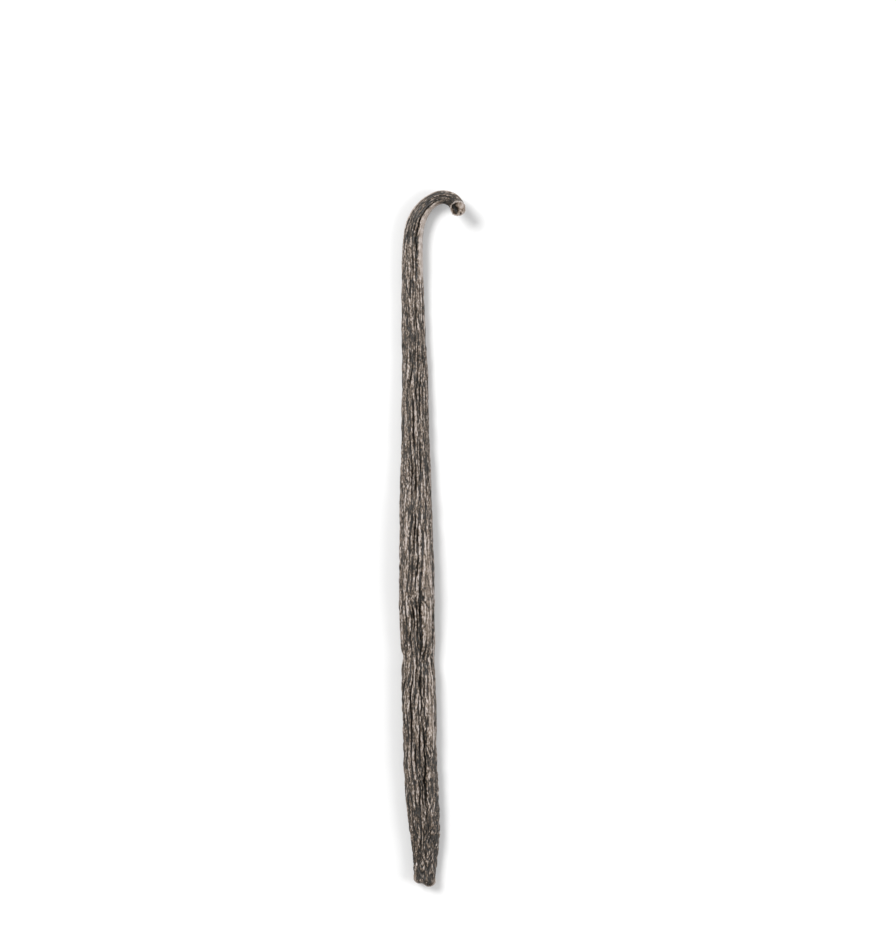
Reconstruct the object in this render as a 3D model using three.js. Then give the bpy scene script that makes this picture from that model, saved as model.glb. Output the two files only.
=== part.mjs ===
// A cured vanilla pod that lies on a table, as one solid. All sizes are in millimetres.
//
// The pod is a long, flattened, slightly twisted tube. Its stem end is thin and curls over into a hook that
// ends in a small dished scar. It widens towards the blossom end, which is blunt and lopsided. Its skin has
// shrunk into lengthwise ridges, with furrows between them that wander, deepen and fade. In places it is
// pinched in.
//
// +Y runs towards the hook, +X is to the right seen from above, and +Z is up. The origin is on the table,
// under the middle of the pod. "Along" is the distance from the stem's scar, measured along the middle of the
// pod. "Around" is an angle about that middle: on the straight part 0 faces +X, and a quarter turn faces up.

import * as THREE from "three";
import { mergeVertices } from "three/addons/utils/BufferGeometryUtils.js";

// Driving sizes. Each pair is a place along the pod and the value there, and between them it runs smoothly.
const LENGTH = 162.45;
const STEM_TIP = { x: 5.73, y: 72.74 };
const HEADING_DEG = [
  [0, 103], [2, 113], [3.5, 131], [5.5, 163], [8, 201], [12, 233], [17, 259.5], [23, 270], [60, 270.5],
  [125, 271.3], [147, 274], [156, 269], [LENGTH, 268],
];
const WIDTH = [
  [0, 3.55], [2.5, 3.3], [6.5, 3.1], [10, 3.3], [14, 4], [18, 4.4], [26, 4.95], [60, 6.5], [97, 8.25],
  [107, 8], [112, 7.6], [118, 7.9], [143, 7.65], [150, 7.1], [155, 6.2], [159, 5.5], [LENGTH, 5.7],
];
const FLATNESS = [[0, 1], [8, 0.9], [26, 0.8], [60, 0.72], [100, 0.68], [145, 0.7], [LENGTH, 0.76]];
const LIFT = [
  [0, 5.62], [1, 4.69], [2, 3.82], [3.5, 2.9], [5.5, 2.1], [8, 1.55], [12, 1.1], [24, 0.5], [38, 0], [64, 0],
  [88, 0.5], [112, 0], [148, 0], [LENGTH, 0.5],
];
const TWIST_TURNS = 0.09;
const PRESSED_FLAT = 0.35; // how far the soft underside is pressed in by the table

// The skin's ridges and the furrows between them.
const RIDGES = 22;
const RIDGE_WIDTH_VARIES = { far: 0.22, farWave: [34, 78], near: 0.12, nearWave: [11, 23] };
const FURROW_DEPTH = { least: 0.22, most: 0.78, mostlyShallow: 1.5, wave: [16, 46], fades: 0.45 };
const FURROW_HALF_WIDTH = 0.3;
const FURROW_SHARPNESS = 1.4;
const FULL_RELIEF_WIDTH = 8; // the pod's width where the furrows have the depth above
// How much of that depth is left along the pod: its two ends are smoother.
const SMOOTHER_ENDS = [[0, 0.25], [4, 1], [8, 1], [140, 1], [146, 1], [158, 0.5], [LENGTH, 0.25]];
const SEED = 41;

// Where the skin is pinched in: a place along and around, how far it reaches each way, and how deep it goes.
const PINCHES = [
  { along: 111.8, around: 1.13, reachAlong: 1.8, reachAround: 0.4, depth: 0.6 },
  { along: 111.6, around: 3.05, reachAlong: 1.2, reachAround: 0.55, depth: 0.35 },
  { along: 151, around: 1.25, reachAlong: 2.4, reachAround: 0.4, depth: 0.45 },
  { along: 73, around: 2.1, reachAlong: 3, reachAround: 0.45, depth: 0.45 },
];

// The two ends: rings from the middle of the face out to the side, as [place along, share of the full size].
const STEM_FACE = [[0.65, 0], [0.6, 0.42], [0.38, 0.74], [0.02, 0.92], [0.2, 1.03]];
const BLOSSOM_REACH = 7; // how far up the pod the blossom end's own shape begins
const BLOSSOM_ROUNDING = 2.6;
const BLOSSOM_BLUNTNESS = 2.7;
const BLOSSOM_SLANT = 0.42; // how much further than the middle the right side of the blossom end reaches
const BLOSSOM_NOTCH = { across: -0.2, reach: 0.3, depth: 0.5 };

// The mesh: places within a ridge where a column of vertices runs, and rings along the pod.
const RIDGE_COLUMNS = [0, 0.32, 0.68];
const HOOK_END = 24;
const HOOK_RINGS = 20;
const BODY_RINGS = 48;
const BLOSSOM_RINGS = 6;
const ROUTE_STEP = 0.2;

const TURN = 2 * Math.PI;

// The value at x of a smooth curve through pairs [place, value], flat beyond the first and the last.
function smooth(pairs, x) {
  const last = pairs.length - 1;
  if (x <= pairs[0][0]) return pairs[0][1];
  if (x >= pairs[last][0]) return pairs[last][1];
  const k = pairs.findIndex(([place]) => place > x) - 1;
  const slope = (i) => {
    const [before, after] = [pairs[Math.max(i - 1, 0)], pairs[Math.min(i + 1, last)]];
    return (after[1] - before[1]) / (after[0] - before[0]);
  };
  const [[x0, y0], [x1, y1]] = [pairs[k], pairs[k + 1]];
  const span = x1 - x0;
  const t = (x - x0) / span;
  return (
    y0 * (1 + 2 * t) * (1 - t) ** 2 +
    y1 * t * t * (3 - 2 * t) +
    span * (slope(k) * t * (1 - t) ** 2 - slope(k + 1) * t * t * (1 - t))
  );
}

// A repeatable source of numbers from 0 to 1.
function numbersFrom(seed) {
  let state = seed;
  return () => {
    state = (state * 16807) % 2147483647;
    return state / 2147483647;
  };
}

const between = ([low, high], share) => low + (high - low) * share;

// One sine wave along the pod, with a drawn length and start.
function drawWave(next, lengths) {
  const length = between(lengths, next());
  const start = TURN * next();
  return (along) => Math.sin((TURN * along) / length + start);
}

// The direction of the pod's middle line at a place along it.
function directionAt(along) {
  const heading = THREE.MathUtils.degToRad(smooth(HEADING_DEG, along));
  const [before, after] = [Math.max(along - ROUTE_STEP, 0), Math.min(along + ROUTE_STEP, LENGTH)];
  const climb = (smooth(LIFT, after) - smooth(LIFT, before)) / (after - before);
  const level = Math.sqrt(1 - climb ** 2);
  return new THREE.Vector3(level * Math.cos(heading), level * Math.sin(heading), climb);
}

// The middle line of the pod as seen from above: its points at even steps along it.
function walkRoute() {
  const points = [new THREE.Vector2(STEM_TIP.x, STEM_TIP.y)];
  for (let along = ROUTE_STEP / 2; along < LENGTH + ROUTE_STEP; along += ROUTE_STEP) {
    const { x, y } = directionAt(Math.min(along, LENGTH));
    points.push(points.at(-1).clone().add(new THREE.Vector2(x, y).multiplyScalar(ROUTE_STEP)));
  }
  return points;
}

const route = walkRoute();

// The middle of the pod at a place along it, with the directions across it and up through it.
function frameAt(along) {
  const k = Math.min(Math.floor(along / ROUTE_STEP), route.length - 2);
  const { x, y } = route[k].clone().lerp(route[k + 1], along / ROUTE_STEP - k);
  const halfHeight = (smooth(WIDTH, along) * smooth(FLATNESS, along)) / 2;
  const middle = new THREE.Vector3(x, y, halfHeight - PRESSED_FLAT + smooth(LIFT, along));
  const forward = directionAt(along);
  const across = new THREE.Vector3(-forward.y, forward.x, 0).normalize();
  return { middle, forward, across, up: forward.clone().cross(across) };
}

// Draws the skin: one set of waves for each ridge and the furrow at its start.
function drawRidges() {
  const next = numbersFrom(SEED);
  return Array.from({ length: RIDGES }, () => ({
    far: drawWave(next, RIDGE_WIDTH_VARIES.farWave),
    near: drawWave(next, RIDGE_WIDTH_VARIES.nearWave),
    depth: between([FURROW_DEPTH.least, FURROW_DEPTH.most], next() ** FURROW_DEPTH.mostlyShallow),
    fade: drawWave(next, FURROW_DEPTH.wave),
  }));
}

const ridges = drawRidges();

// The furrows at a place along the pod: where each lies as a share of a turn, and how deep it is.
function furrowsAt(along) {
  const widths = ridges.map(
    (r) => 1 + RIDGE_WIDTH_VARIES.far * r.far(along) + RIDGE_WIDTH_VARIES.near * r.near(along),
  );
  const total = widths.reduce((sum, w) => sum + w, 0);
  const relief = (smooth(SMOOTHER_ENDS, along) * smooth(WIDTH, along)) / FULL_RELIEF_WIDTH;
  let edge = (TWIST_TURNS * along) / LENGTH;
  return ridges.map((r, i) => {
    const start = edge;
    const share = widths[i] / total;
    edge += share;
    return { start, share, depth: r.depth * relief * (1 + FURROW_DEPTH.fades * r.fade(along)) };
  });
}

// How much of a furrow's depth is left at a distance from its middle.
const furrowShape = (distance) => Math.exp(-((distance / FURROW_HALF_WIDTH) ** FURROW_SHARPNESS));

// The angle about the middle for a share of the way round. Equal shares are about equal lengths of skin.
function angleOf(share, flatness) {
  const turned = TURN * share;
  return turned + (0.5 * (1 - flatness) * Math.sin(2 * turned)) / (1 + flatness);
}

// The shortest way between two angles.
const angleBetween = (a, b) => Math.abs(Math.atan2(Math.sin(a - b), Math.cos(a - b)));

// How far the pinches draw the skin in at one place.
function pinchedIn(along, angle) {
  return PINCHES.reduce((sum, p) => {
    const alongTerm = ((along - p.along) / p.reachAlong) ** 2;
    const aroundTerm = (angleBetween(angle, p.around) / p.reachAround) ** 2;
    return sum + p.depth * Math.exp(-alongTerm - aroundTerm);
  }, 0);
}

// How far the blossom end is moved along the pod, for a place across it from -1 (left) to 1 (right).
function blossomShift(along, across) {
  const near = THREE.MathUtils.smoothstep(along, LENGTH - BLOSSOM_REACH, LENGTH);
  const fromNotch = (across - BLOSSOM_NOTCH.across) / BLOSSOM_NOTCH.reach;
  return near * (BLOSSOM_SLANT * across - BLOSSOM_NOTCH.depth * Math.exp(-(fromNotch ** 2)));
}

// One point of the skin. A ring has a place along the pod and a share of the full size. A column has a ridge
// and a place within it.
function skinPoint(ring, column) {
  const furrows = furrowsAt(ring.along);
  const here = furrows[column.ridge];
  const after = furrows[(column.ridge + 1) % RIDGES];
  const flatness = smooth(FLATNESS, ring.along);
  const halfWidth = smooth(WIDTH, ring.along) / 2;
  const angle = angleOf(here.start + here.share * column.within, flatness);
  const ridgeWidth = Math.PI * halfWidth * (1 + flatness) * here.share;
  const depth =
    here.depth * furrowShape(column.within * ridgeWidth) +
    after.depth * furrowShape((1 - column.within) * ridgeWidth) +
    pinchedIn(ring.along, angle);
  const { middle, forward, across, up } = frameAt(ring.along);
  return middle
    .addScaledVector(across, (halfWidth - depth) * ring.size * Math.cos(angle))
    .addScaledVector(up, (halfWidth * flatness - depth) * ring.size * Math.sin(angle))
    .addScaledVector(forward, blossomShift(ring.along, Math.cos(angle) * ring.size));
}

// The rings of the mesh, from the stem's scar to the blossom end. A size of 0 is a single point.
function layOutRings() {
  const face = STEM_FACE.map(([along, size]) => ({ along, size }));
  const faceEnd = face.at(-1).along;
  const bodyEnd = LENGTH - BLOSSOM_ROUNDING;
  const stretch = (from, to, count) =>
    Array.from({ length: count }, (_, i) => ({ along: from + ((to - from) * (i + 1)) / count, size: 1 }));
  const cap = Array.from({ length: BLOSSOM_RINGS }, (_, i) => {
    const turned = (Math.PI / 2) * ((i + 1) / BLOSSOM_RINGS);
    const size = i + 1 < BLOSSOM_RINGS ? Math.cos(turned) ** (2 / BLOSSOM_BLUNTNESS) : 0;
    return { along: bodyEnd + BLOSSOM_ROUNDING * Math.sin(turned) ** (2 / BLOSSOM_BLUNTNESS), size };
  });
  const hook = stretch(faceEnd, HOOK_END, HOOK_RINGS);
  const body = stretch(HOOK_END, bodyEnd, BODY_RINGS);
  return [...face, ...hook, ...body, ...cap];
}

// The solid: a turned blank with the right rings and columns, whose points are moved onto the pod's skin.
// Points that would lie below the table are pressed flat against it.
function makePodGeometry() {
  const rings = layOutRings();
  const columns = ridges.flatMap((_, ridge) => RIDGE_COLUMNS.map((within) => ({ ridge, within })));
  const profile = rings.map((ring) => new THREE.Vector2(ring.size, -ring.along));
  const blank = new THREE.LatheGeometry(profile, columns.length);
  const positions = blank.getAttribute("position");
  for (let i = 0; i < positions.count; i++) {
    const ring = rings[i % rings.length];
    const column = columns[Math.floor(i / rings.length) % columns.length];
    const point = skinPoint(ring, column);
    positions.setXYZ(i, point.x, point.y, Math.max(point.z, 0));
  }
  blank.deleteAttribute("normal");
  blank.deleteAttribute("uv");
  const geometry = mergeVertices(blank);
  geometry.computeVertexNormals();
  return geometry;
}

const skin = new THREE.MeshStandardMaterial({ color: 0x4d4036, roughness: 0.5, metalness: 0 });
const pod = new THREE.Mesh(makePodGeometry(), skin);
pod.name = "pod";

const group = new THREE.Group();
group.add(pod);

export default group;
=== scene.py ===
"""A cured vanilla pod that lies on a pale floor, seen from straight above.

The pod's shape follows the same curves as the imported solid, with many more points. On top of the solid's
ridges and furrows the skin has finer furrows, wrinkles that join and part, deep creases, folds that run out
from where the skin is pinched, V-shaped rucks, crinkles near the blossom end, and a few broad smooth ridges.
Lengths are in millimetres until the mesh is made.

"Along" is the distance from the stem's scar, measured along the middle of the pod. "Around" is an angle about
that middle: on the straight part 0 faces +X, and a quarter turn faces up.
"""

import math
from collections import namedtuple

import bpy
import numpy as np
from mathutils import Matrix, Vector, noise


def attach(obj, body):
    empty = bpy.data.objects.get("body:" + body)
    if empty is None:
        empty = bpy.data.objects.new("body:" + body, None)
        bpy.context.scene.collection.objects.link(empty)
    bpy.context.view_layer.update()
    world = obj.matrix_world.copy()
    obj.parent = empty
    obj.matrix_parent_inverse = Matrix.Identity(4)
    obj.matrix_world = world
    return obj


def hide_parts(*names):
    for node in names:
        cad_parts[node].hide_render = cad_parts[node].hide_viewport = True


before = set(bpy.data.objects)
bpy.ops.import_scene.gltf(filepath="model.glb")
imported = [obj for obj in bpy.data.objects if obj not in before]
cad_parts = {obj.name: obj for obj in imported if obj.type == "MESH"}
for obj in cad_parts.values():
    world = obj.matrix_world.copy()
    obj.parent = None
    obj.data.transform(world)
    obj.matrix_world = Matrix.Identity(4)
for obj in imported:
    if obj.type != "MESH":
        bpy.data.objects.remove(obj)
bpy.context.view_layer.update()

MM = 0.001
TURN = 2 * math.pi

# A pattern of noise over the skin: how fast it changes across and along, and where it starts.
Pattern = namedtuple("Pattern", "across along start")

# How something wanders along the pod: how far, which row of the noise it takes, and how fast it changes.
Wander = namedtuple("Wander", "reach row pace")

# How much of some creases is there: the usual share, how far the pattern changes it, and its limits.
Share = namedtuple("Share", "usual varies least most pattern")

# The pod's driving sizes. Each pair is a place along the pod and the value there.
LENGTH = 162.45
STEM_TIP = (5.73, 72.74)
HEADING_DEG = [
    (0, 103), (2, 113), (3.5, 131), (5.5, 163), (8, 201), (12, 233), (17, 259.5), (23, 270), (60, 270.5),
    (125, 271.3), (147, 274), (156, 269), (LENGTH, 268),
]
WIDTH = [
    (0, 3.55), (2.5, 3.3), (6.5, 3.1), (10, 3.3), (14, 4), (18, 4.4), (26, 4.95), (60, 6.5), (97, 8.25),
    (107, 8), (112, 7.6), (118, 7.9), (143, 7.65), (150, 7.1), (155, 6.2), (159, 5.5), (LENGTH, 5.7),
]
FLATNESS = [(0, 1), (8, 0.9), (26, 0.8), (60, 0.72), (100, 0.68), (145, 0.7), (LENGTH, 0.76)]
LIFT = [
    (0, 5.62), (1, 4.69), (2, 3.82), (3.5, 2.9), (5.5, 2.1), (8, 1.55), (12, 1.1), (24, 0.5), (38, 0),
    (64, 0), (88, 0.5), (112, 0), (148, 0), (LENGTH, 0.5),
]
TWIST_TURNS = 0.09
PRESSED_FLAT = 0.35

# The main ridges and the furrows between them, which bend a little and are broken into stretches. Their
# patterns lie on a circle of radius 1.
RIDGES = 22
RIDGE_FAR = 0.22
RIDGE_FAR_WAVE = (34, 78)
RIDGE_NEAR = 0.12
RIDGE_NEAR_WAVE = (11, 23)
FURROW_LEAST = 0.22
FURROW_MOST = 0.78
FURROW_MOSTLY_SHALLOW = 1.5
FURROW_WAVE = (16, 46)
FURROW_FADES = 0.45
FURROW_HALF_WIDTH = 0.22
FURROW_SHARPNESS = 1.4
FURROW_BENDS = [(0.012, Pattern(2, 0.22, 0)), (0.006, Pattern(4, 0.6, 0))]
FURROW_SHARE = Share(0.72, 1.4, 0.08, 1.2, Pattern(3.2, 0.16, 60))
FULL_RELIEF_WIDTH = 8
SMOOTHER_ENDS = [(0, 0.25), (4, 1), (8, 1), (140, 1), (146, 1), (158, 0.5), (LENGTH, 0.25)]
SEED = 41
NUMBER_STEP = 16807
NUMBER_LIMIT = 2147483647

# Where the skin is pinched in: a place, how far it reaches each way, and how deep it goes.
Pinch = namedtuple("Pinch", "along around reach_along reach_around depth")
PINCHES = [
    Pinch(111.8, 1.13, 1.8, 0.4, 0.6),
    Pinch(111.6, 3.05, 1.2, 0.55, 0.35),
    Pinch(151, 1.25, 2.4, 0.4, 0.45),
    Pinch(73, 2.1, 3, 0.45, 0.45),
]

# The star of folds round each pinch, weakest straight across the pod, and the pit in its middle.
FOLDS_AT_PINCH = 8
FOLD_DEPTH = 0.55
FOLD_REACH = 2.3
FOLD_SPAN = 3 * FOLD_REACH
FOLD_START = 0.35
FOLD_SHARPNESS = 3
FOLD_NARROWNESS = 1.7
FOLD_UNEVENNESS = 1.3
FOLD_LOSS_ACROSS = 0.85
PIT_DEPTH = 0.35
PIT_REACH = 0.5

# Deep creases, each from one place to another.
Crease = namedtuple("Crease", "start end around_start around_end depth half_width")
CREASES = [
    Crease(6, 30, 1.05, 1.2, 0.5, 0.2),
    Crease(60, 92, 1.2, 1.3, 0.4, 0.22),
    Crease(92, 111, 1.42, 1.32, 0.6, 0.19),
    Crease(97.3, 101.4, 1.35, 0.86, 0.45, 0.15),
    Crease(92, 112, 0.42, 0.45, 0.5, 0.22),
    Crease(112.5, 130, 1.42, 1.34, 0.6, 0.18),
    Crease(113, 126, 1.15, 1.2, 0.55, 0.17),
    Crease(114, 124, 0.74, 0.72, 0.4, 0.15),
    Crease(126, 148, 1.2, 1.38, 0.8, 0.25),
    Crease(128, 146, 1.56, 1.76, 0.55, 0.18),
    Crease(133, 143, 1.44, 1.56, 0.45, 0.16),
    Crease(88, 132, 4.3, 4.5, 0.6, 0.22),
    Crease(118, 150, 5.3, 5.1, 0.6, 0.22),
]
CREASE_WANDERS = [Wander(0.12, 0, 0.45), Wander(0.06, 5, 1.3)]
CREASE_FADE = 0.5

# Nets of finer creases between long cells of the skin. The slant is how far the cells lean sideways. The
# slanted net lies on the pod's right side, which begins between two cosines of the angle around. It and the
# crumpled net are calmer on both sides of the pod.
Net = namedtuple("Net", "width length depth half_width slant start")
LONG_NET = Net(1.1, 11, 0.3, 0.13, 0, 0)
LONG_NET_SHARE = Share(0.55, 0.9, 0.1, 1.5, Pattern(0.6, 0.2, 71))
SHORT_NET = Net(0.62, 4.5, 0.17, 0.1, 0, 40)
SHORT_NET_SHARE = Share(0.55, 1.9, 0, 1.2, Pattern(0.35, 0.07, 200))
SLANTED_NET = Net(0.85, 5, 0.42, 0.15, 0.38, 80)
SLANTED_ZONE = (122, 136)
SLANTED_CLEARS = 0.65
CRUMPLED_NET = Net(0.85, 3.8, 0.4, 0.14, 0.22, 120)
CRUMPLED_ZONE = (142, 156)
CRUMPLED_WANDER = 1.2
RIGHT_SIDE = (0.1, 0.5)
SIDE_CALM = 0.5
SIDE_SHARPNESS = 6
NET_BENDS = [(0.5, Pattern(0.5, 0.2, 0)), (0.25, Pattern(1, 0.7, 31))]

# Low lumps, larger and finer ones.
LUMPS = [(0.1, Pattern(0.9, 0.45, 120)), (0.07, Pattern(2.2, 1.3, 150))]

# Rucks: places where the skin is pushed up into a few nested folds shaped like a V, which opens towards the
# stem (1) or away from it (-1).
Ruck = namedtuple("Ruck", "along around reach spacing depth opens")
RUCKS = [
    Ruck(133.2, 0.85, 1, 0.8, 0.4, 1),
    Ruck(138, 1, 0.9, 0.8, 0.35, -1),
    Ruck(143.8, 1.1, 1.1, 0.85, 0.4, 1),
    Ruck(150.8, 0.98, 1.2, 0.9, 0.32, -1),
    Ruck(155, 1.35, 1.1, 0.85, 0.5, 1),
    Ruck(158.4, 0.9, 0.9, 0.8, 0.4, -1),
    Ruck(158.8, 1.85, 0.9, 0.8, 0.45, 1),
    Ruck(141, 4.4, 1.3, 0.85, 0.4, 1),
    Ruck(150, 5.5, 1.3, 0.9, 0.45, -1),
    Ruck(156, 4, 1.2, 0.85, 0.45, 1),
]
RUCK_LENGTH = 2.1
RUCK_SPAN = 2.5 * RUCK_LENGTH
RUCK_OPENING = 0.42
RUCK_BLUNTNESS = 0.25
RUCK_WANDER = 0.4
RUCK_PACE_ACROSS = 0.8
RUCK_PACE_ALONG = 0.5
RUCK_CLEARS = 0.75

# Broad smooth ridges, each from one place to another, each with a paleness. The narrow one along the hook's
# outer edge is a painted highlight.
Strip = namedtuple("Strip", "start end around_start around_end half_width paleness")
STRIPS = [
    Strip(5, 30, 0.48, 0.5, 0.95, 1),
    # A narrow pale line along the hook's outer edge: a painted highlight.
    Strip(0.5, 20, 2.85, 2.85, 0.28, 1),
    Strip(84, 111, 0.88, 0.92, 1.35, 0.36),
    Strip(113, 133, 0.8, 0.68, 1.1, 0.36),
    Strip(70, 104, 2.2, 2.3, 0.9, 0.2),
    Strip(96, 126, 3.8, 3.9, 1.1, 0.25),
    Strip(40, 80, 5.4, 5.5, 0.9, 0.25),
]
STRIP_HEIGHT = 0.1
STRIP_FADE = 6
STRIP_CLEARS_FURROWS = 0.85
STRIP_CLEARS_FINE = 0.65
STRIP_WIDTH_WANDER = Wander(0.3, 20, 0.9)
STRIP_PALENESS_WANDER = Wander(0.5, 40, 0.6)

# How pale the skin is along the pod.
TONE = [(0, 0.65), (8, 0.45), (18, 0.72), (30, 1), (120, 1), (138, 0.78), (150, 0.56), (LENGTH, 0.45)]

# The stem's scar: rings on its face, then over its rim, as a place along and a share of the full size. Its
# dish lies towards the hook's inner side. The material's patterns are coarser and calmer on its face.
FACE_RINGS = 14
FACE_SIZE = 0.9
FACE_CALM = 0.3
RIM_RINGS = [(0.02, 0.94), (0, 0.98), (0.06, 1.02), (0.2, 1.03)]
STEM_SIDE = 0.35
DISH_DEPTH = 0.9
DISH_ACROSS = 0.34
DISH_HALF_WIDTH = 0.4
DISH_HALF_HEIGHT = 0.64
DISH_RAGGED = 0.3
DISH_EDGE = Pattern(2.4, 0, 7)

# How pale the scar's blotchy face is, and the pale rim round it, which is partly its own pale edge and partly
# a painted highlight that also runs round the pod just behind the scar.
SCAR_PALENESS = 0.75
SCAR_UNEVENNESS = 0.7
SCAR_BLOTCHES = Pattern(3, 0, 90)
RIM_PALENESS_AND_HIGHLIGHT = 1.3
RIM_SIZE = 0.97
RIM_HALF_SIZE = 0.07
RIM_WIDTH = 0.5
RIM_END = STEM_SIDE + 3 * RIM_WIDTH

# The blossom end: its shape, the low lip round it, and a pale band at mid-height over its edge, a painted
# highlight along its outline.
BLOSSOM_REACH = 7
BLOSSOM_ROUNDING = 2.6
BLOSSOM_BLUNTNESS = 2.7
BLOSSOM_SLANT = 0.42
NOTCH_ACROSS = -0.2
NOTCH_REACH = 0.3
NOTCH_DEPTH = 0.5
LIP = 1.1
LIP_HEIGHT = 0.14
LIP_GROOVE = 2.3
LIP_WIDTH = 0.5
BLOSSOM_EDGE_HIGHLIGHT_PALENESS = 1.9
BLOSSOM_EDGE_HIGHLIGHT_START = 1.4
BLOSSOM_EDGE_HIGHLIGHT_HALF_WIDTH = 0.42

# The mesh: places within a ridge where a column of points runs, and rings along the pod.
RIDGE_COLUMNS = np.array([0, 0.1, 0.22, 0.36, 0.5, 0.64, 0.78, 0.9])
HOOK_END = 24
HOOK_RINGS = 100
BODY_RINGS = 430
BLOSSOM_RINGS = 18
ROUTE_STEP = 0.2

# How many columns and rings either side a point's depth is compared with.
HOLLOW_COLUMNS = 4
HOLLOW_RINGS = 2

# The least share of the full size that the material's patterns shrink to at the two end points.
LEAST_PATTERN_SIZE = 0.05

# The photograph's frame, which the camera takes in.
FRAME_PIXELS = (896, 930)
MM_PER_PIXEL = 0.2214
FRAME_CENTRE = (3.52, 16.42)
POD_MIDDLE_HEIGHT = 3
LENS = 100
SENSOR = 36

# The floor lies this far below the pod's flat patches, so that the two don't flicker together.
FLOOR_GAP = 0.01


def smooth(pairs, x):
    """The value at x of a smooth curve through pairs of a place and a value, flat beyond the ends."""
    last = len(pairs) - 1
    if x <= pairs[0][0]:
        return pairs[0][1]
    if x >= pairs[last][0]:
        return pairs[last][1]
    k = next(i for i, pair in enumerate(pairs) if pair[0] > x) - 1

    def slope(i):
        before, after = pairs[max(i - 1, 0)], pairs[min(i + 1, last)]
        return (after[1] - before[1]) / (after[0] - before[0])

    (x0, y0), (x1, y1) = pairs[k], pairs[k + 1]
    span = x1 - x0
    t = (x - x0) / span
    from_start = y0 * (1 + 2 * t) * (1 - t) ** 2 + y1 * t * t * (3 - 2 * t)
    return from_start + span * (slope(k) * t * (1 - t) ** 2 - slope(k + 1) * t * t * (1 - t))


def smoothstep(x, low, high):
    t = min(max((x - low) / (high - low), 0), 1)
    return t * t * (3 - 2 * t)


def between(limits, share):
    return limits[0] + (limits[1] - limits[0]) * share


def bell(distance, reach):
    """1 at no distance, falling to 0 well beyond the reach."""
    return np.exp(-((distance / reach) ** 2))


def plateau(distance, reach):
    """1 over most of the reach, falling fast to 0 beyond it."""
    return np.exp(-((distance / reach) ** 4))


def furrow_shape(distance, half_width):
    """1 in the middle of a furrow or a crease, falling to 0 beyond its half width."""
    return np.exp(-((distance / half_width) ** FURROW_SHARPNESS))


def angle_between(a, b):
    """The way from b to a, between minus and plus half a turn."""
    return np.arctan2(np.sin(a - b), np.cos(a - b))


def noise_at(x, y, z):
    return noise.noise(Vector((x, y, z)))


def noise_over(pattern, x, y, along=0):
    """The pattern at each of a ring's points, from about -1 to 1."""
    z = along * pattern.along + pattern.start
    return np.array([noise_at(u, v, z) for u, v in zip(x * pattern.across, y * pattern.across)])


def wander_at(wander, row_start, along):
    return wander.reach * noise_at(row_start, wander.row, along * wander.pace)


def share_at(share, x, y, along):
    """How much of some creases is there at each of a ring's points."""
    varied = share.usual + share.varies * noise_over(share.pattern, x, y, along)
    return np.clip(varied, share.least, share.most)


def numbers_from(seed):
    """A repeatable source of numbers from 0 to 1."""
    state = seed
    while True:
        state = state * NUMBER_STEP % NUMBER_LIMIT
        yield state / NUMBER_LIMIT


def draw_wave(numbers, lengths):
    """One sine wave along the pod, with a drawn length and start."""
    length = between(lengths, next(numbers))
    start = TURN * next(numbers)
    return lambda along: math.sin(TURN * along / length + start)


def draw_ridges():
    """The waves of each ridge and of the furrow at its start."""
    numbers = numbers_from(SEED)
    ridges = []
    for _ in range(RIDGES):
        far = draw_wave(numbers, RIDGE_FAR_WAVE)
        near = draw_wave(numbers, RIDGE_NEAR_WAVE)
        depth = between((FURROW_LEAST, FURROW_MOST), next(numbers) ** FURROW_MOSTLY_SHALLOW)
        fade = draw_wave(numbers, FURROW_WAVE)
        ridges.append((far, near, depth, fade))
    return ridges


def direction_at(along):
    """The direction of the pod's middle line at a place along it."""
    heading = math.radians(smooth(HEADING_DEG, along))
    before, after = max(along - ROUTE_STEP, 0), min(along + ROUTE_STEP, LENGTH)
    climb = (smooth(LIFT, after) - smooth(LIFT, before)) / (after - before)
    level = math.sqrt(1 - climb**2)
    return np.array([level * math.cos(heading), level * math.sin(heading), climb])


def walk_route():
    """The middle line of the pod as seen from above: its points at even steps along it."""
    points = [np.array(STEM_TIP)]
    for k in range(math.ceil(LENGTH / ROUTE_STEP) + 1):
        direction = direction_at(min((k + 0.5) * ROUTE_STEP, LENGTH))
        points.append(points[-1] + ROUTE_STEP * direction[:2])
    return points


ridges = draw_ridges()
route = walk_route()


def frame_at(along):
    """The middle of the pod at a place along it, and the directions forward, across and up through it."""
    k = min(int(along / ROUTE_STEP), len(route) - 2)
    x, y = route[k] + (route[k + 1] - route[k]) * (along / ROUTE_STEP - k)
    half_height = smooth(WIDTH, along) * smooth(FLATNESS, along) / 2
    middle = np.array([x, y, half_height - PRESSED_FLAT + smooth(LIFT, along)])
    forward = direction_at(along)
    across = np.array([-forward[1], forward[0], 0])
    across /= np.linalg.norm(across)
    return middle, forward, across, np.cross(forward, across)


def furrows_at(along):
    """Where each furrow lies, as a share of a turn, with its ridge's share of the turn and its own depth."""
    widths = np.array([1 + RIDGE_FAR * far(along) + RIDGE_NEAR * near(along) for far, near, _, _ in ridges])
    edges = np.concatenate([[0], np.cumsum(widths / widths.sum())[:-1]])
    straight = TWIST_TURNS * along / LENGTH + edges
    x, y = np.cos(TURN * straight), np.sin(TURN * straight)
    starts = straight + sum(reach * noise_over(pattern, x, y, along) for reach, pattern in FURROW_BENDS)
    shares = np.diff(np.append(starts, starts[0] + 1))
    relief = smooth(SMOOTHER_ENDS, along) * smooth(WIDTH, along) / FULL_RELIEF_WIDTH
    depths = np.array([depth * relief * (1 + FURROW_FADES * fade(along)) for _, _, depth, fade in ridges])
    depths *= share_at(FURROW_SHARE, np.cos(TURN * starts), np.sin(TURN * starts), along)
    return starts, shares, depths


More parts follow.
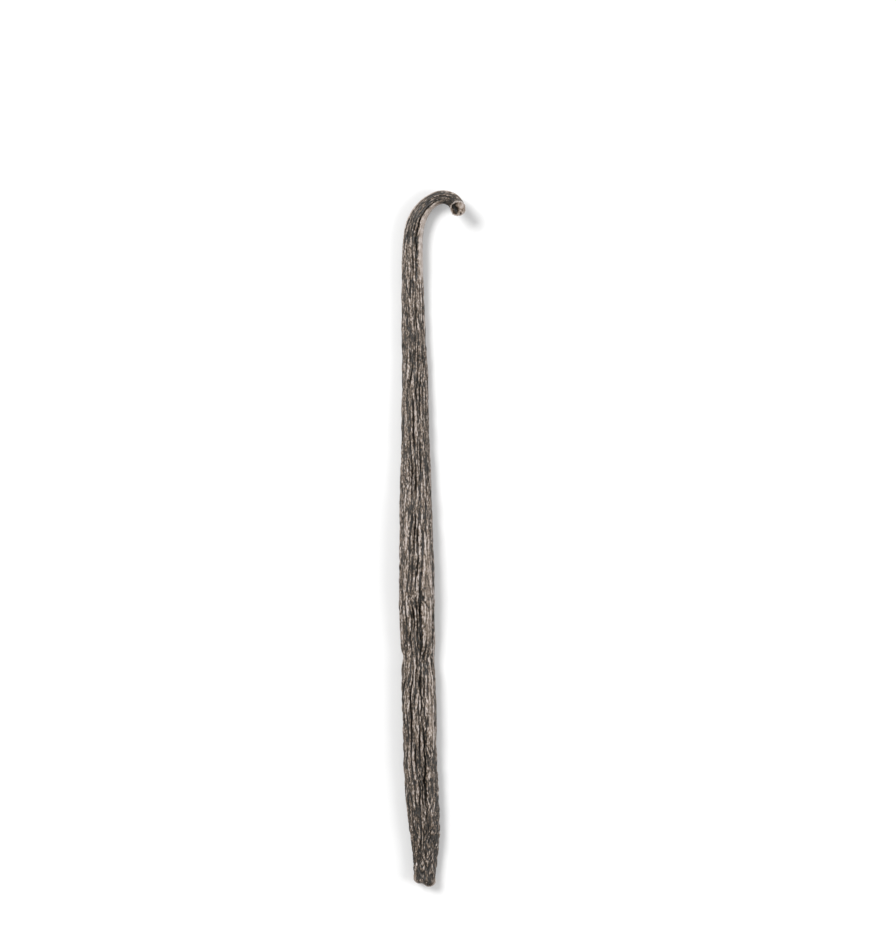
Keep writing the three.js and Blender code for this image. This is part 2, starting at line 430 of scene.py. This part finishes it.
def angle_of(share, flatness):
    """The angle about the middle for a share of the way round. Equal shares are about equal lengths."""
    turned = TURN * share
    return turned + 0.5 * (1 - flatness) * np.sin(2 * turned) / (1 + flatness)


def right_side(angles):
    """1 on the right of the pod seen from above, fading to 0 towards its middle."""
    low, high = RIGHT_SIDE
    return np.clip((np.cos(angles) - low) / (high - low), 0, 1)


def main_relief(along, half_width, flatness):
    """The angle of each column of points at a place along the pod, and the main furrows' depth there."""
    starts, shares, depths = furrows_at(along)
    turns = (starts[:, None] + shares[:, None] * RIDGE_COLUMNS).ravel()
    angles = angle_of(turns, flatness)
    ridge_widths = math.pi * half_width * (1 + flatness) * shares[:, None]
    relief = depths[:, None] * furrow_shape(RIDGE_COLUMNS * ridge_widths, FURROW_HALF_WIDTH)
    after = np.roll(depths, -1)[:, None]
    relief += after * furrow_shape((1 - RIDGE_COLUMNS) * ridge_widths, FURROW_HALF_WIDTH)
    slanted = smoothstep(along, *SLANTED_ZONE) * right_side(angles)
    return angles, relief.ravel() * (1 - SLANTED_CLEARS * slanted)


def pinched_in(along, angles):
    """How far the pinches draw the skin in."""
    total = np.zeros_like(angles)
    for pinch in PINCHES:
        down = (along - pinch.along) / pinch.reach_along
        side = angle_between(angles, pinch.around) / pinch.reach_around
        total += pinch.depth * np.exp(-(down**2) - side**2)
    return total


def fold_depths(along, angles, half_width):
    """The folds that run out from each pinch like a star, and the pit in its middle."""
    total = np.zeros_like(angles)
    for pinch in PINCHES:
        down = along - pinch.along
        if abs(down) > FOLD_SPAN:
            continue
        side = angle_between(angles, pinch.around) * half_width
        away = np.hypot(down, side)
        bearing = np.arctan2(side, down)
        uneven = FOLD_UNEVENNESS * np.sin(2 * bearing + pinch.along)
        wave = 0.5 + 0.5 * np.cos(FOLDS_AT_PINCH * bearing + uneven)
        left_across = 1 - FOLD_LOSS_ACROSS * np.sin(bearing) ** 4
        reach = bell(np.hypot(down, side * FOLD_NARROWNESS), FOLD_REACH) * left_across
        total += FOLD_DEPTH * wave**FOLD_SHARPNESS * (1 - bell(away, FOLD_START)) * reach
        total += PIT_DEPTH * bell(away, PIT_REACH)
    return total


def crease_depths(along, angles, half_width):
    """The deep creases, which fade in and out at their ends."""
    total = np.zeros_like(angles)
    for crease in CREASES:
        share = (along - crease.start) / (crease.end - crease.start)
        if 0 < share < 1:
            around = between((crease.around_start, crease.around_end), share)
            around += sum(wander_at(wander, crease.start, along) for wander in CREASE_WANDERS)
            side = angle_between(angles, around) * half_width
            total += crease.depth * math.sin(math.pi * share) ** CREASE_FADE * bell(side, crease.half_width)
    return total


def ruck_depths(along, angles, half_width):
    """The folds of each ruck, and how much of the other creases the rucks leave."""
    total = np.zeros_like(angles)
    left = np.ones_like(angles)
    for ruck in RUCKS:
        down = along - ruck.along
        if abs(down) > RUCK_SPAN * ruck.reach:
            continue
        side = angle_between(angles, ruck.around) * half_width
        bends = np.array([noise_at(s * RUCK_PACE_ACROSS, down * RUCK_PACE_ALONG, ruck.along) for s in side])
        from_tip = np.hypot(side, RUCK_BLUNTNESS) + ruck.opens * RUCK_OPENING * down
        wave = 0.5 + 0.5 * np.cos(TURN * (from_tip + RUCK_WANDER * bends) / ruck.spacing)
        here = bell(np.hypot(down / RUCK_LENGTH, side), ruck.reach)
        total += ruck.depth * wave**2 * here
        left *= 1 - RUCK_CLEARS * here
    return total, left


def strips_at(along, angles, half_width):
    """How smooth the broad ridges make the skin, from 0 to 1, and how pale. The narrow line along the hook's
    outer edge is a painted highlight.
    """
    smoothness = np.zeros_like(angles)
    paleness = np.zeros_like(angles)
    for strip in STRIPS:
        share = (along - strip.start) / (strip.end - strip.start)
        if 0 < share < 1:
            around = between((strip.around_start, strip.around_end), share)
            side = angle_between(angles, around) * half_width
            reach = strip.half_width * (1 + wander_at(STRIP_WIDTH_WANDER, strip.start, along))
            fade = min(share * STRIP_FADE, (1 - share) * STRIP_FADE, 1)
            here = fade * plateau(side, reach)
            smoothness = np.maximum(smoothness, here)
            paleness += strip.paleness * (1 + wander_at(STRIP_PALENESS_WANDER, strip.start, along)) * here
    return smoothness, paleness


def net_depths(net, x, y, along):
    """How deep a net of creases is at a ring's points. The creases run between cells drawn at random."""
    across = (x - net.slant * along) / net.width
    z = along / net.length + net.start
    gaps = []
    for u, v in zip(across, y / net.width):
        distances, _ = noise.voronoi(Vector((u, v, z)))
        gaps.append(distances[1] - distances[0])
    from_crease = np.array(gaps) * net.width / 2
    return net.depth * furrow_shape(from_crease, net.half_width)


def fine_relief(along, angles, half_width):
    """The depth of the finer creases and lumps at a ring's points."""
    crumpled = smoothstep(along, *CRUMPLED_ZONE)
    x, y = half_width * np.cos(angles), half_width * np.sin(angles)
    wander = sum(reach * noise_over(pattern, x, y, along) for reach, pattern in NET_BENDS)
    wander *= 1 + CRUMPLED_WANDER * crumpled
    x, y = x + wander, y - wander
    calm = 1 - SIDE_CALM * np.cos(angles) ** SIDE_SHARPNESS
    nets = [
        (LONG_NET, share_at(LONG_NET_SHARE, x, y, along)),
        (SHORT_NET, share_at(SHORT_NET_SHARE, x, y, along)),
        (SLANTED_NET, calm * smoothstep(along, *SLANTED_ZONE) * right_side(angles)),
        (CRUMPLED_NET, calm * crumpled),
    ]
    depths = sum(share * net_depths(net, x, y, along) for net, share in nets)
    depths += sum(height * noise_over(pattern, x, y, along) for height, pattern in LUMPS)
    return depths * half_width / (FULL_RELIEF_WIDTH / 2)


def blossom_shift(along, across):
    """How far the blossom end is moved along the pod, for places across it from -1 (left) to 1 (right)."""
    near = smoothstep(along, LENGTH - BLOSSOM_REACH, LENGTH)
    return near * (BLOSSOM_SLANT * across - NOTCH_DEPTH * bell(across - NOTCH_ACROSS, NOTCH_REACH))


def lip_height(along):
    """The low lip round the blossom end, with a groove behind it."""
    from_end = LENGTH - along
    return LIP_HEIGHT * (bell(from_end - LIP, LIP_WIDTH) - bell(from_end - LIP_GROOVE, LIP_WIDTH))


def dish_share(along, size, angles):
    """How deep the dish in the stem's scar is, from 0 to 1."""
    if along >= STEM_SIDE or size >= 1:
        return np.zeros_like(angles)
    across = size * np.cos(angles) - DISH_ACROSS
    upwards = size * np.sin(angles)
    ragged = 1 + DISH_RAGGED * noise_over(DISH_EDGE, across, upwards)
    away = np.hypot(across / DISH_HALF_WIDTH, upwards / DISH_HALF_HEIGHT) * ragged
    return plateau(away, 1)


def end_paleness_and_highlights(along, size, angles):
    """The scar's blotchy pale face, and painted highlights: on the rim of the stem's scar, which is partly
    its own pale edge, and in a band round the blossom end.
    """
    across, upwards = size * np.cos(angles), size * np.sin(angles)
    if along < RIM_RINGS[-1][0] and size < 1:
        face = SCAR_PALENESS * (1 + SCAR_UNEVENNESS * noise_over(SCAR_BLOTCHES, across, upwards))
        # The rim of the scar's face: partly its own pale edge, partly a painted highlight.
        return np.maximum(face, RIM_PALENESS_AND_HIGHLIGHT * bell(size - RIM_SIZE, RIM_HALF_SIZE))
    # A pale band round the pod just behind the scar, painted as a highlight.
    if along < RIM_END:
        return np.full_like(angles, RIM_PALENESS_AND_HIGHLIGHT * bell(along, RIM_WIDTH))
    # A pale band at mid-height round the blossom end: a painted highlight along its outline seen from above.
    if along > LENGTH - BLOSSOM_ROUNDING:
        near = smoothstep(along, LENGTH - BLOSSOM_ROUNDING, LENGTH - BLOSSOM_EDGE_HIGHLIGHT_START)
        return BLOSSOM_EDGE_HIGHLIGHT_PALENESS * near * bell(upwards, BLOSSOM_EDGE_HIGHLIGHT_HALF_WIDTH)
    return np.zeros_like(angles)


def pattern_places(along, size, angles):
    """Where the material's patterns are read at a ring's points, as if the pod were straight and round."""
    radius = smooth(WIDTH, along) / 2 * max(size, LEAST_PATTERN_SIZE)
    inwards = 0
    if along < STEM_SIDE:
        radius *= FACE_CALM if size <= FACE_SIZE else 1
        inwards = (1 - size) * radius
    places = [radius * np.cos(angles), radius * np.sin(angles), np.full_like(angles, along + inwards)]
    return np.column_stack(places)


def lay_out_rings():
    """The rings of the mesh, from the stem's scar on: a place along and a share of the full size."""
    body_end = LENGTH - BLOSSOM_ROUNDING
    face_place = RIM_RINGS[0][0]
    rings = [(face_place, FACE_SIZE * i / (FACE_RINGS - 1)) for i in range(FACE_RINGS)]
    rings += RIM_RINGS
    rings += [(STEM_SIDE + (HOOK_END - STEM_SIDE) * (i + 1) / HOOK_RINGS, 1) for i in range(HOOK_RINGS)]
    rings += [(HOOK_END + (body_end - HOOK_END) * (i + 1) / BODY_RINGS, 1) for i in range(BODY_RINGS)]
    power = 2 / BLOSSOM_BLUNTNESS
    for i in range(BLOSSOM_RINGS):
        turned = TURN / 4 * (i + 1) / BLOSSOM_RINGS
        size = math.cos(turned) ** power if i + 1 < BLOSSOM_RINGS else 0
        rings.append((body_end + BLOSSOM_ROUNDING * math.sin(turned) ** power, size))
    return rings


def skin_ring(along, size):
    """One ring of the mesh: its points, and what is kept for each of them."""
    flatness = smooth(FLATNESS, along)
    half_width = smooth(WIDTH, along) / 2
    angles, furrows = main_relief(along, half_width, flatness)
    smoothness, paleness = strips_at(along, angles, half_width)
    rucks, left = ruck_depths(along, angles, half_width)
    furrows *= (1 - STRIP_CLEARS_FURROWS * smoothness) * left
    fine = fine_relief(along, angles, half_width) * (1 - STRIP_CLEARS_FINE * smoothness) * left
    fine += fold_depths(along, angles, half_width)
    fine += crease_depths(along, angles, half_width) + rucks
    fine -= STRIP_HEIGHT * smoothness
    depth = furrows + pinched_in(along, angles) + fine - lip_height(along)
    dish = dish_share(along, size, angles)
    middle, forward, across, up = frame_at(along)
    sideways = (half_width - depth) * size * np.cos(angles)
    upwards = (half_width * flatness - depth) * size * np.sin(angles)
    onwards = blossom_shift(along, np.cos(angles) * size) + DISH_DEPTH * dish
    points = middle + sideways[:, None] * across + upwards[:, None] * up + onwards[:, None] * forward
    points[:, 2] = np.maximum(points[:, 2], 0)
    on_side = smoothstep(size, FACE_SIZE, 1)
    return {
        "point": points,
        "depth": (furrows + fine) * on_side,
        "pale": np.maximum(paleness * on_side, end_paleness_and_highlights(along, size, angles)) * (1 - dish),
        "place": pattern_places(along, size, angles),
        "tone": np.full_like(angles, smooth(TONE, along)),
        "dish": dish,
    }


def hollowness(depths):
    """How much deeper each point of the skin is than the skin around it. The scar's face has none."""
    shifts = range(-HOLLOW_COLUMNS, HOLLOW_COLUMNS + 1)
    around = sum(np.roll(depths, shift, axis=1) for shift in shifts) / len(shifts)
    padded = np.pad(around, ((HOLLOW_RINGS, HOLLOW_RINGS), (0, 0)), mode="edge")
    rows = range(2 * HOLLOW_RINGS + 1)
    hollows = depths - sum(padded[k : k + len(depths)] for k in rows) / len(rows)
    hollows[: FACE_RINGS + len(RIM_RINGS)] = 0
    return hollows


def skin_faces(rings, columns):
    """The faces between the rings and round the two end points. All of them face outwards."""
    faces = []
    last_point = 1 + (rings - 2) * columns
    for i in range(columns):
        j = (i + 1) % columns
        faces.append((0, 1 + j, 1 + i))
        faces.append((last_point, last_point - columns + i, last_point - columns + j))
    for k in range(rings - 3):
        near, far = 1 + k * columns, 1 + (k + 1) * columns
        for i in range(columns):
            j = (i + 1) % columns
            faces.append((near + i, near + j, far + j, far + i))
    return faces


def make_pod():
    """The pod's mesh, with what its material reads at each point of the skin."""
    rings = [skin_ring(along, size) for along, size in lay_out_rings()]
    layers = {name: [ring[name] for ring in rings] for name in rings[0]}
    layers["hollow"] = hollowness(np.array(layers["depth"]))

    def each_point(name):
        """A layer's values for all points. The first and the last ring are a single point each."""
        values = layers[name]
        return np.concatenate([values[0][:1], *values[1:-1], values[-1][:1]])

    mesh = bpy.data.meshes.new("pod_skin")
    mesh.from_pydata(each_point("point") * MM, [], skin_faces(len(rings), RIDGES * len(RIDGE_COLUMNS)))
    mesh.update()
    for name in ("hollow", "pale", "tone", "dish"):
        attribute = mesh.attributes.new(name, "FLOAT", "POINT")
        attribute.data.foreach_set("value", each_point(name))
    place = mesh.attributes.new("place", "FLOAT_VECTOR", "POINT")
    place.data.foreach_set("vector", each_point("place").ravel())
    mesh.shade_smooth()
    pod = bpy.data.objects.new("pod_skin", mesh)
    bpy.context.scene.collection.objects.link(pod)
    return pod


def srgb(red, green, blue):
    """A colour given as it looks on a screen, from 0 to 255, for a shader's socket."""
    shares = [value / 255 for value in (red, green, blue)]
    linear = [s / 12.92 if s <= 0.04045 else ((s + 0.055) / 1.055) ** 2.4 for s in shares]
    return (*linear, 1)


class Nodes:
    """Adds nodes to a material and links them."""

    def __init__(self, name):
        self.material = bpy.data.materials.new(name)
        self.material.use_nodes = True
        self.tree = self.material.node_tree
        self.shader = self.tree.nodes["Principled BSDF"]

    def add(self, kind, inputs=None, **settings):
        node = self.tree.nodes.new(kind)
        for key, value in settings.items():
            setattr(node, key, value)
        for key, value in (inputs or {}).items():
            self.set(node.inputs[key], value)
        return node

    def set(self, socket, value):
        if isinstance(value, bpy.types.NodeSocket):
            self.tree.links.new(value, socket)
        else:
            socket.default_value = value

    def attribute(self, name, output="Fac"):
        return self.add("ShaderNodeAttribute", attribute_name=name).outputs[output]

    def stretched(self, place, size, length, sideways=0.0):
        """The place in cells of a size across the pod and a length along it, in millimetres."""
        inputs = {"Vector": place, "Location": (sideways, 0, 0), "Scale": (1 / size, 1 / size, 1 / length)}
        return self.add("ShaderNodeMapping", inputs).outputs[0]

    def noise(self, place, size, length, detail=3, roughness=0.55, output=0):
        mapped = self.stretched(place, size, length)
        inputs = {"Vector": mapped, "Detail": detail, "Roughness": roughness, "Scale": 1}
        return self.add("ShaderNodeTexNoise", inputs).outputs[output]

    def bent(self, place, size, length, reach):
        """The place moved by up to about the reach, so that what is drawn with it winds."""
        wander = self.noise(place, size, length, output="Color")
        inputs = {0: wander, 1: (0.5, 0.5, 0.5)}
        centred = self.add("ShaderNodeVectorMath", inputs, operation="SUBTRACT").outputs[0]
        inputs = {0: centred, 1: (2 * reach, 2 * reach, 2 * reach), 2: place}
        return self.add("ShaderNodeVectorMath", inputs, operation="MULTIPLY_ADD").outputs[0]

    def creases(self, place, size, length, half_width, sideways=0.0):
        """1 along the creases between cells of the skin, and 0 away from them."""
        mapped = self.stretched(place, size, length, sideways)
        cells = self.add("ShaderNodeTexVoronoi", {"Vector": mapped, "Scale": 1}, feature="DISTANCE_TO_EDGE")
        return self.remap(cells.outputs["Distance"], 0, half_width / size, 1, 0)

    def remap(self, value, low, high, to_low=0.0, to_high=1.0):
        inputs = {"Value": value, "From Min": low, "From Max": high, "To Min": to_low, "To Max": to_high}
        return self.add("ShaderNodeMapRange", inputs).outputs[0]

    def centred(self, value):
        return self.remap(value, 0, 1, -0.5, 0.5)

    def total(self, start, terms):
        """A start value plus each value times its factor."""
        result = start
        for value, factor in terms:
            inputs = {0: value, 1: factor, 2: result}
            result = self.add("ShaderNodeMath", inputs, operation="MULTIPLY_ADD").outputs[0]
        return result

    def product(self, a, b):
        return self.add("ShaderNodeMath", {0: a, 1: b}, operation="MULTIPLY").outputs[0]

    def ramp(self, value, stops):
        """Colours blended between stops of a value and a colour."""
        node = self.add("ShaderNodeValToRGB", {0: value})
        elements = node.color_ramp.elements
        while len(elements) < len(stops):
            elements.new(0.5)
        for element, (position, colour) in zip(elements, stops):
            element.position = position
            element.color = colour
        return node.outputs[0]


# The colours from the bottom of a furrow to the palest ridge. They are the skin's own colours, and they also
# carry the shade painted into furrows and the highlights painted onto crests.
SKIN_AND_PAINTED_LIGHT_COLOURS = [
    (0, srgb(24, 20, 15)),
    (0.24, srgb(54, 45, 34)),
    (0.44, srgb(95, 80, 66)),
    (0.62, srgb(129, 114, 101)),
    (0.8, srgb(157, 145, 136)),
    (1, srgb(186, 176, 171)),
]


def skin_material():
    """Waxy brown skin with patches and fine grain. Its near-black furrows and thin dark creases are partly
    painted shade, and its pale greyish ridges are partly painted highlight.
    """
    n = Nodes("pod_skin")
    place = n.attribute("place", "Vector")
    bent = n.bent(place, size=1.2, length=6, reach=0.3)
    winding = n.bent(bent, size=0.3, length=0.5, reach=0.09)
    patches = n.noise(place, size=4, length=11)
    streaks = n.noise(winding, size=0.4, length=8)
    mottle = n.noise(winding, size=0.38, length=2.2, roughness=0.7)
    grain = n.noise(winding, size=0.2, length=1.2, detail=2)
    specks = n.noise(place, size=0.22, length=0.5, detail=2)
    long_creases = n.creases(winding, size=0.9, length=9, half_width=0.14)
    short_creases = n.creases(winding, size=0.5, length=3, half_width=0.1)
    # Thin raised lines in the bump, which the colour also makes paler as a painted highlight.
    raised_lines_painted_highlight = n.creases(winding, size=0.9, length=10, half_width=0.12, sideways=5.3)
    fine_marks = n.total(0.0, [
        (n.centred(grain), 1.3),
        (n.centred(specks), 2.1),
        # Painted shade: darker along the creases, which are in the bump only.
        (long_creases, -0.55),
        (short_creases, -0.32),
        (raised_lines_painted_highlight, 0.22),
    ])

    # The fine marks fade where the skin is smooth and pale.
    hollow = n.attribute("hollow")
    pale = n.attribute("pale")
    pallor_and_painted_light = n.total(0.56, [
        # Painted shade: darker where the skin lies deeper than the skin around it, in furrows, folds, pits
        # and creases, on top of the furrows' own darker colour.
        (n.remap(hollow, 0.015, 0.15), -0.56),
        # Painted highlight: paler on the crests beside the hollows.
        (n.remap(hollow, -0.01, -0.1), 0.22),
        (n.centred(patches), 0.16),
        (n.centred(streaks), 0.45),
        (n.centred(mottle), 0.4),
        (n.product(fine_marks, n.remap(pale, 0.1, 0.8, 1, 0.25)), 1.0),
        (n.remap(n.attribute("tone"), 0, 1, -1, 0), 0.28),
        # The paleness of the strips, the scar's face and the rims. It includes painted highlights along the
        # hook's outer edge, at the scar's rim and round the blossom end.
        (pale, 0.42),
        # Painted shade: darker in the stem scar's dish.
        (n.attribute("dish"), -0.5),
    ])
    n.set(n.shader.inputs["Base Color"], n.ramp(pallor_and_painted_light, SKIN_AND_PAINTED_LIGHT_COLOURS))
    n.set(n.shader.inputs["Roughness"], n.remap(mottle, 0.35, 0.65, 0.55, 0.38))
    height = n.total(0.0, [
        (grain, 0.5),
        (mottle, 0.7),
        (long_creases, -0.6),
        (short_creases, -0.35),
        (raised_lines_painted_highlight, 0.4),
    ])
    bump = n.add("ShaderNodeBump", {"Height": height, "Strength": 0.8, "Distance": 0.12 * MM})
    n.set(n.shader.inputs["Normal"], bump.outputs[0])
    return n.material


def add_floor():
    bpy.ops.mesh.primitive_plane_add(size=3)
    floor = bpy.context.object
    floor.name = "floor"
    floor.location.z = -FLOOR_GAP * MM
    n = Nodes("floor")
    n.set(n.shader.inputs["Base Color"], srgb(232, 232, 232))
    n.set(n.shader.inputs["Roughness"], 0.6)
    floor.data.materials.append(n.material)


def add_light(name, place, size, energy):
    """A round lamp that points at the origin."""
    light = bpy.data.lights.new(name, "AREA")
    light.shape = "DISK"
    light.size = size
    light.energy = energy
    lamp = bpy.data.objects.new(name, light)
    lamp.location = place
    lamp.rotation_euler = (-Vector(place)).to_track_quat("-Z", "Y").to_euler()
    bpy.context.scene.collection.objects.link(lamp)


def light_scene():
    """Soft studio light: a large lamp from the upper left, a weaker one from the right, and a bright room."""
    world = bpy.data.worlds.new("studio")
    world.use_nodes = True
    world.node_tree.nodes["Background"].inputs["Color"].default_value = (1, 1, 1, 1)
    world.node_tree.nodes["Background"].inputs["Strength"].default_value = 0.5
    bpy.context.scene.world = world
    add_light("key", (-0.4, 0.35, 0.65), 0.4, 6)
    add_light("fill", (0.55, -0.1, 0.45), 0.4, 2.5)


def add_camera():
    """Looks straight down, with the photograph's frame and its scale at the pod's middle height."""
    data = bpy.data.cameras.new("camera")
    data.sensor_width = SENSOR
    data.lens = LENS
    frame_height = max(FRAME_PIXELS) * MM_PER_PIXEL
    height = frame_height * LENS / SENSOR + POD_MIDDLE_HEIGHT
    camera = bpy.data.objects.new("camera", data)
    camera.location = (FRAME_CENTRE[0] * MM, FRAME_CENTRE[1] * MM, height * MM)
    bpy.context.scene.collection.objects.link(camera)
    bpy.context.scene.camera = camera


pod = make_pod()
pod.data.materials.append(skin_material())
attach(pod, "root")
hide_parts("pod")

add_floor()
light_scene()
add_camera()
bpy.context.scene.view_settings.view_transform = "Standard"
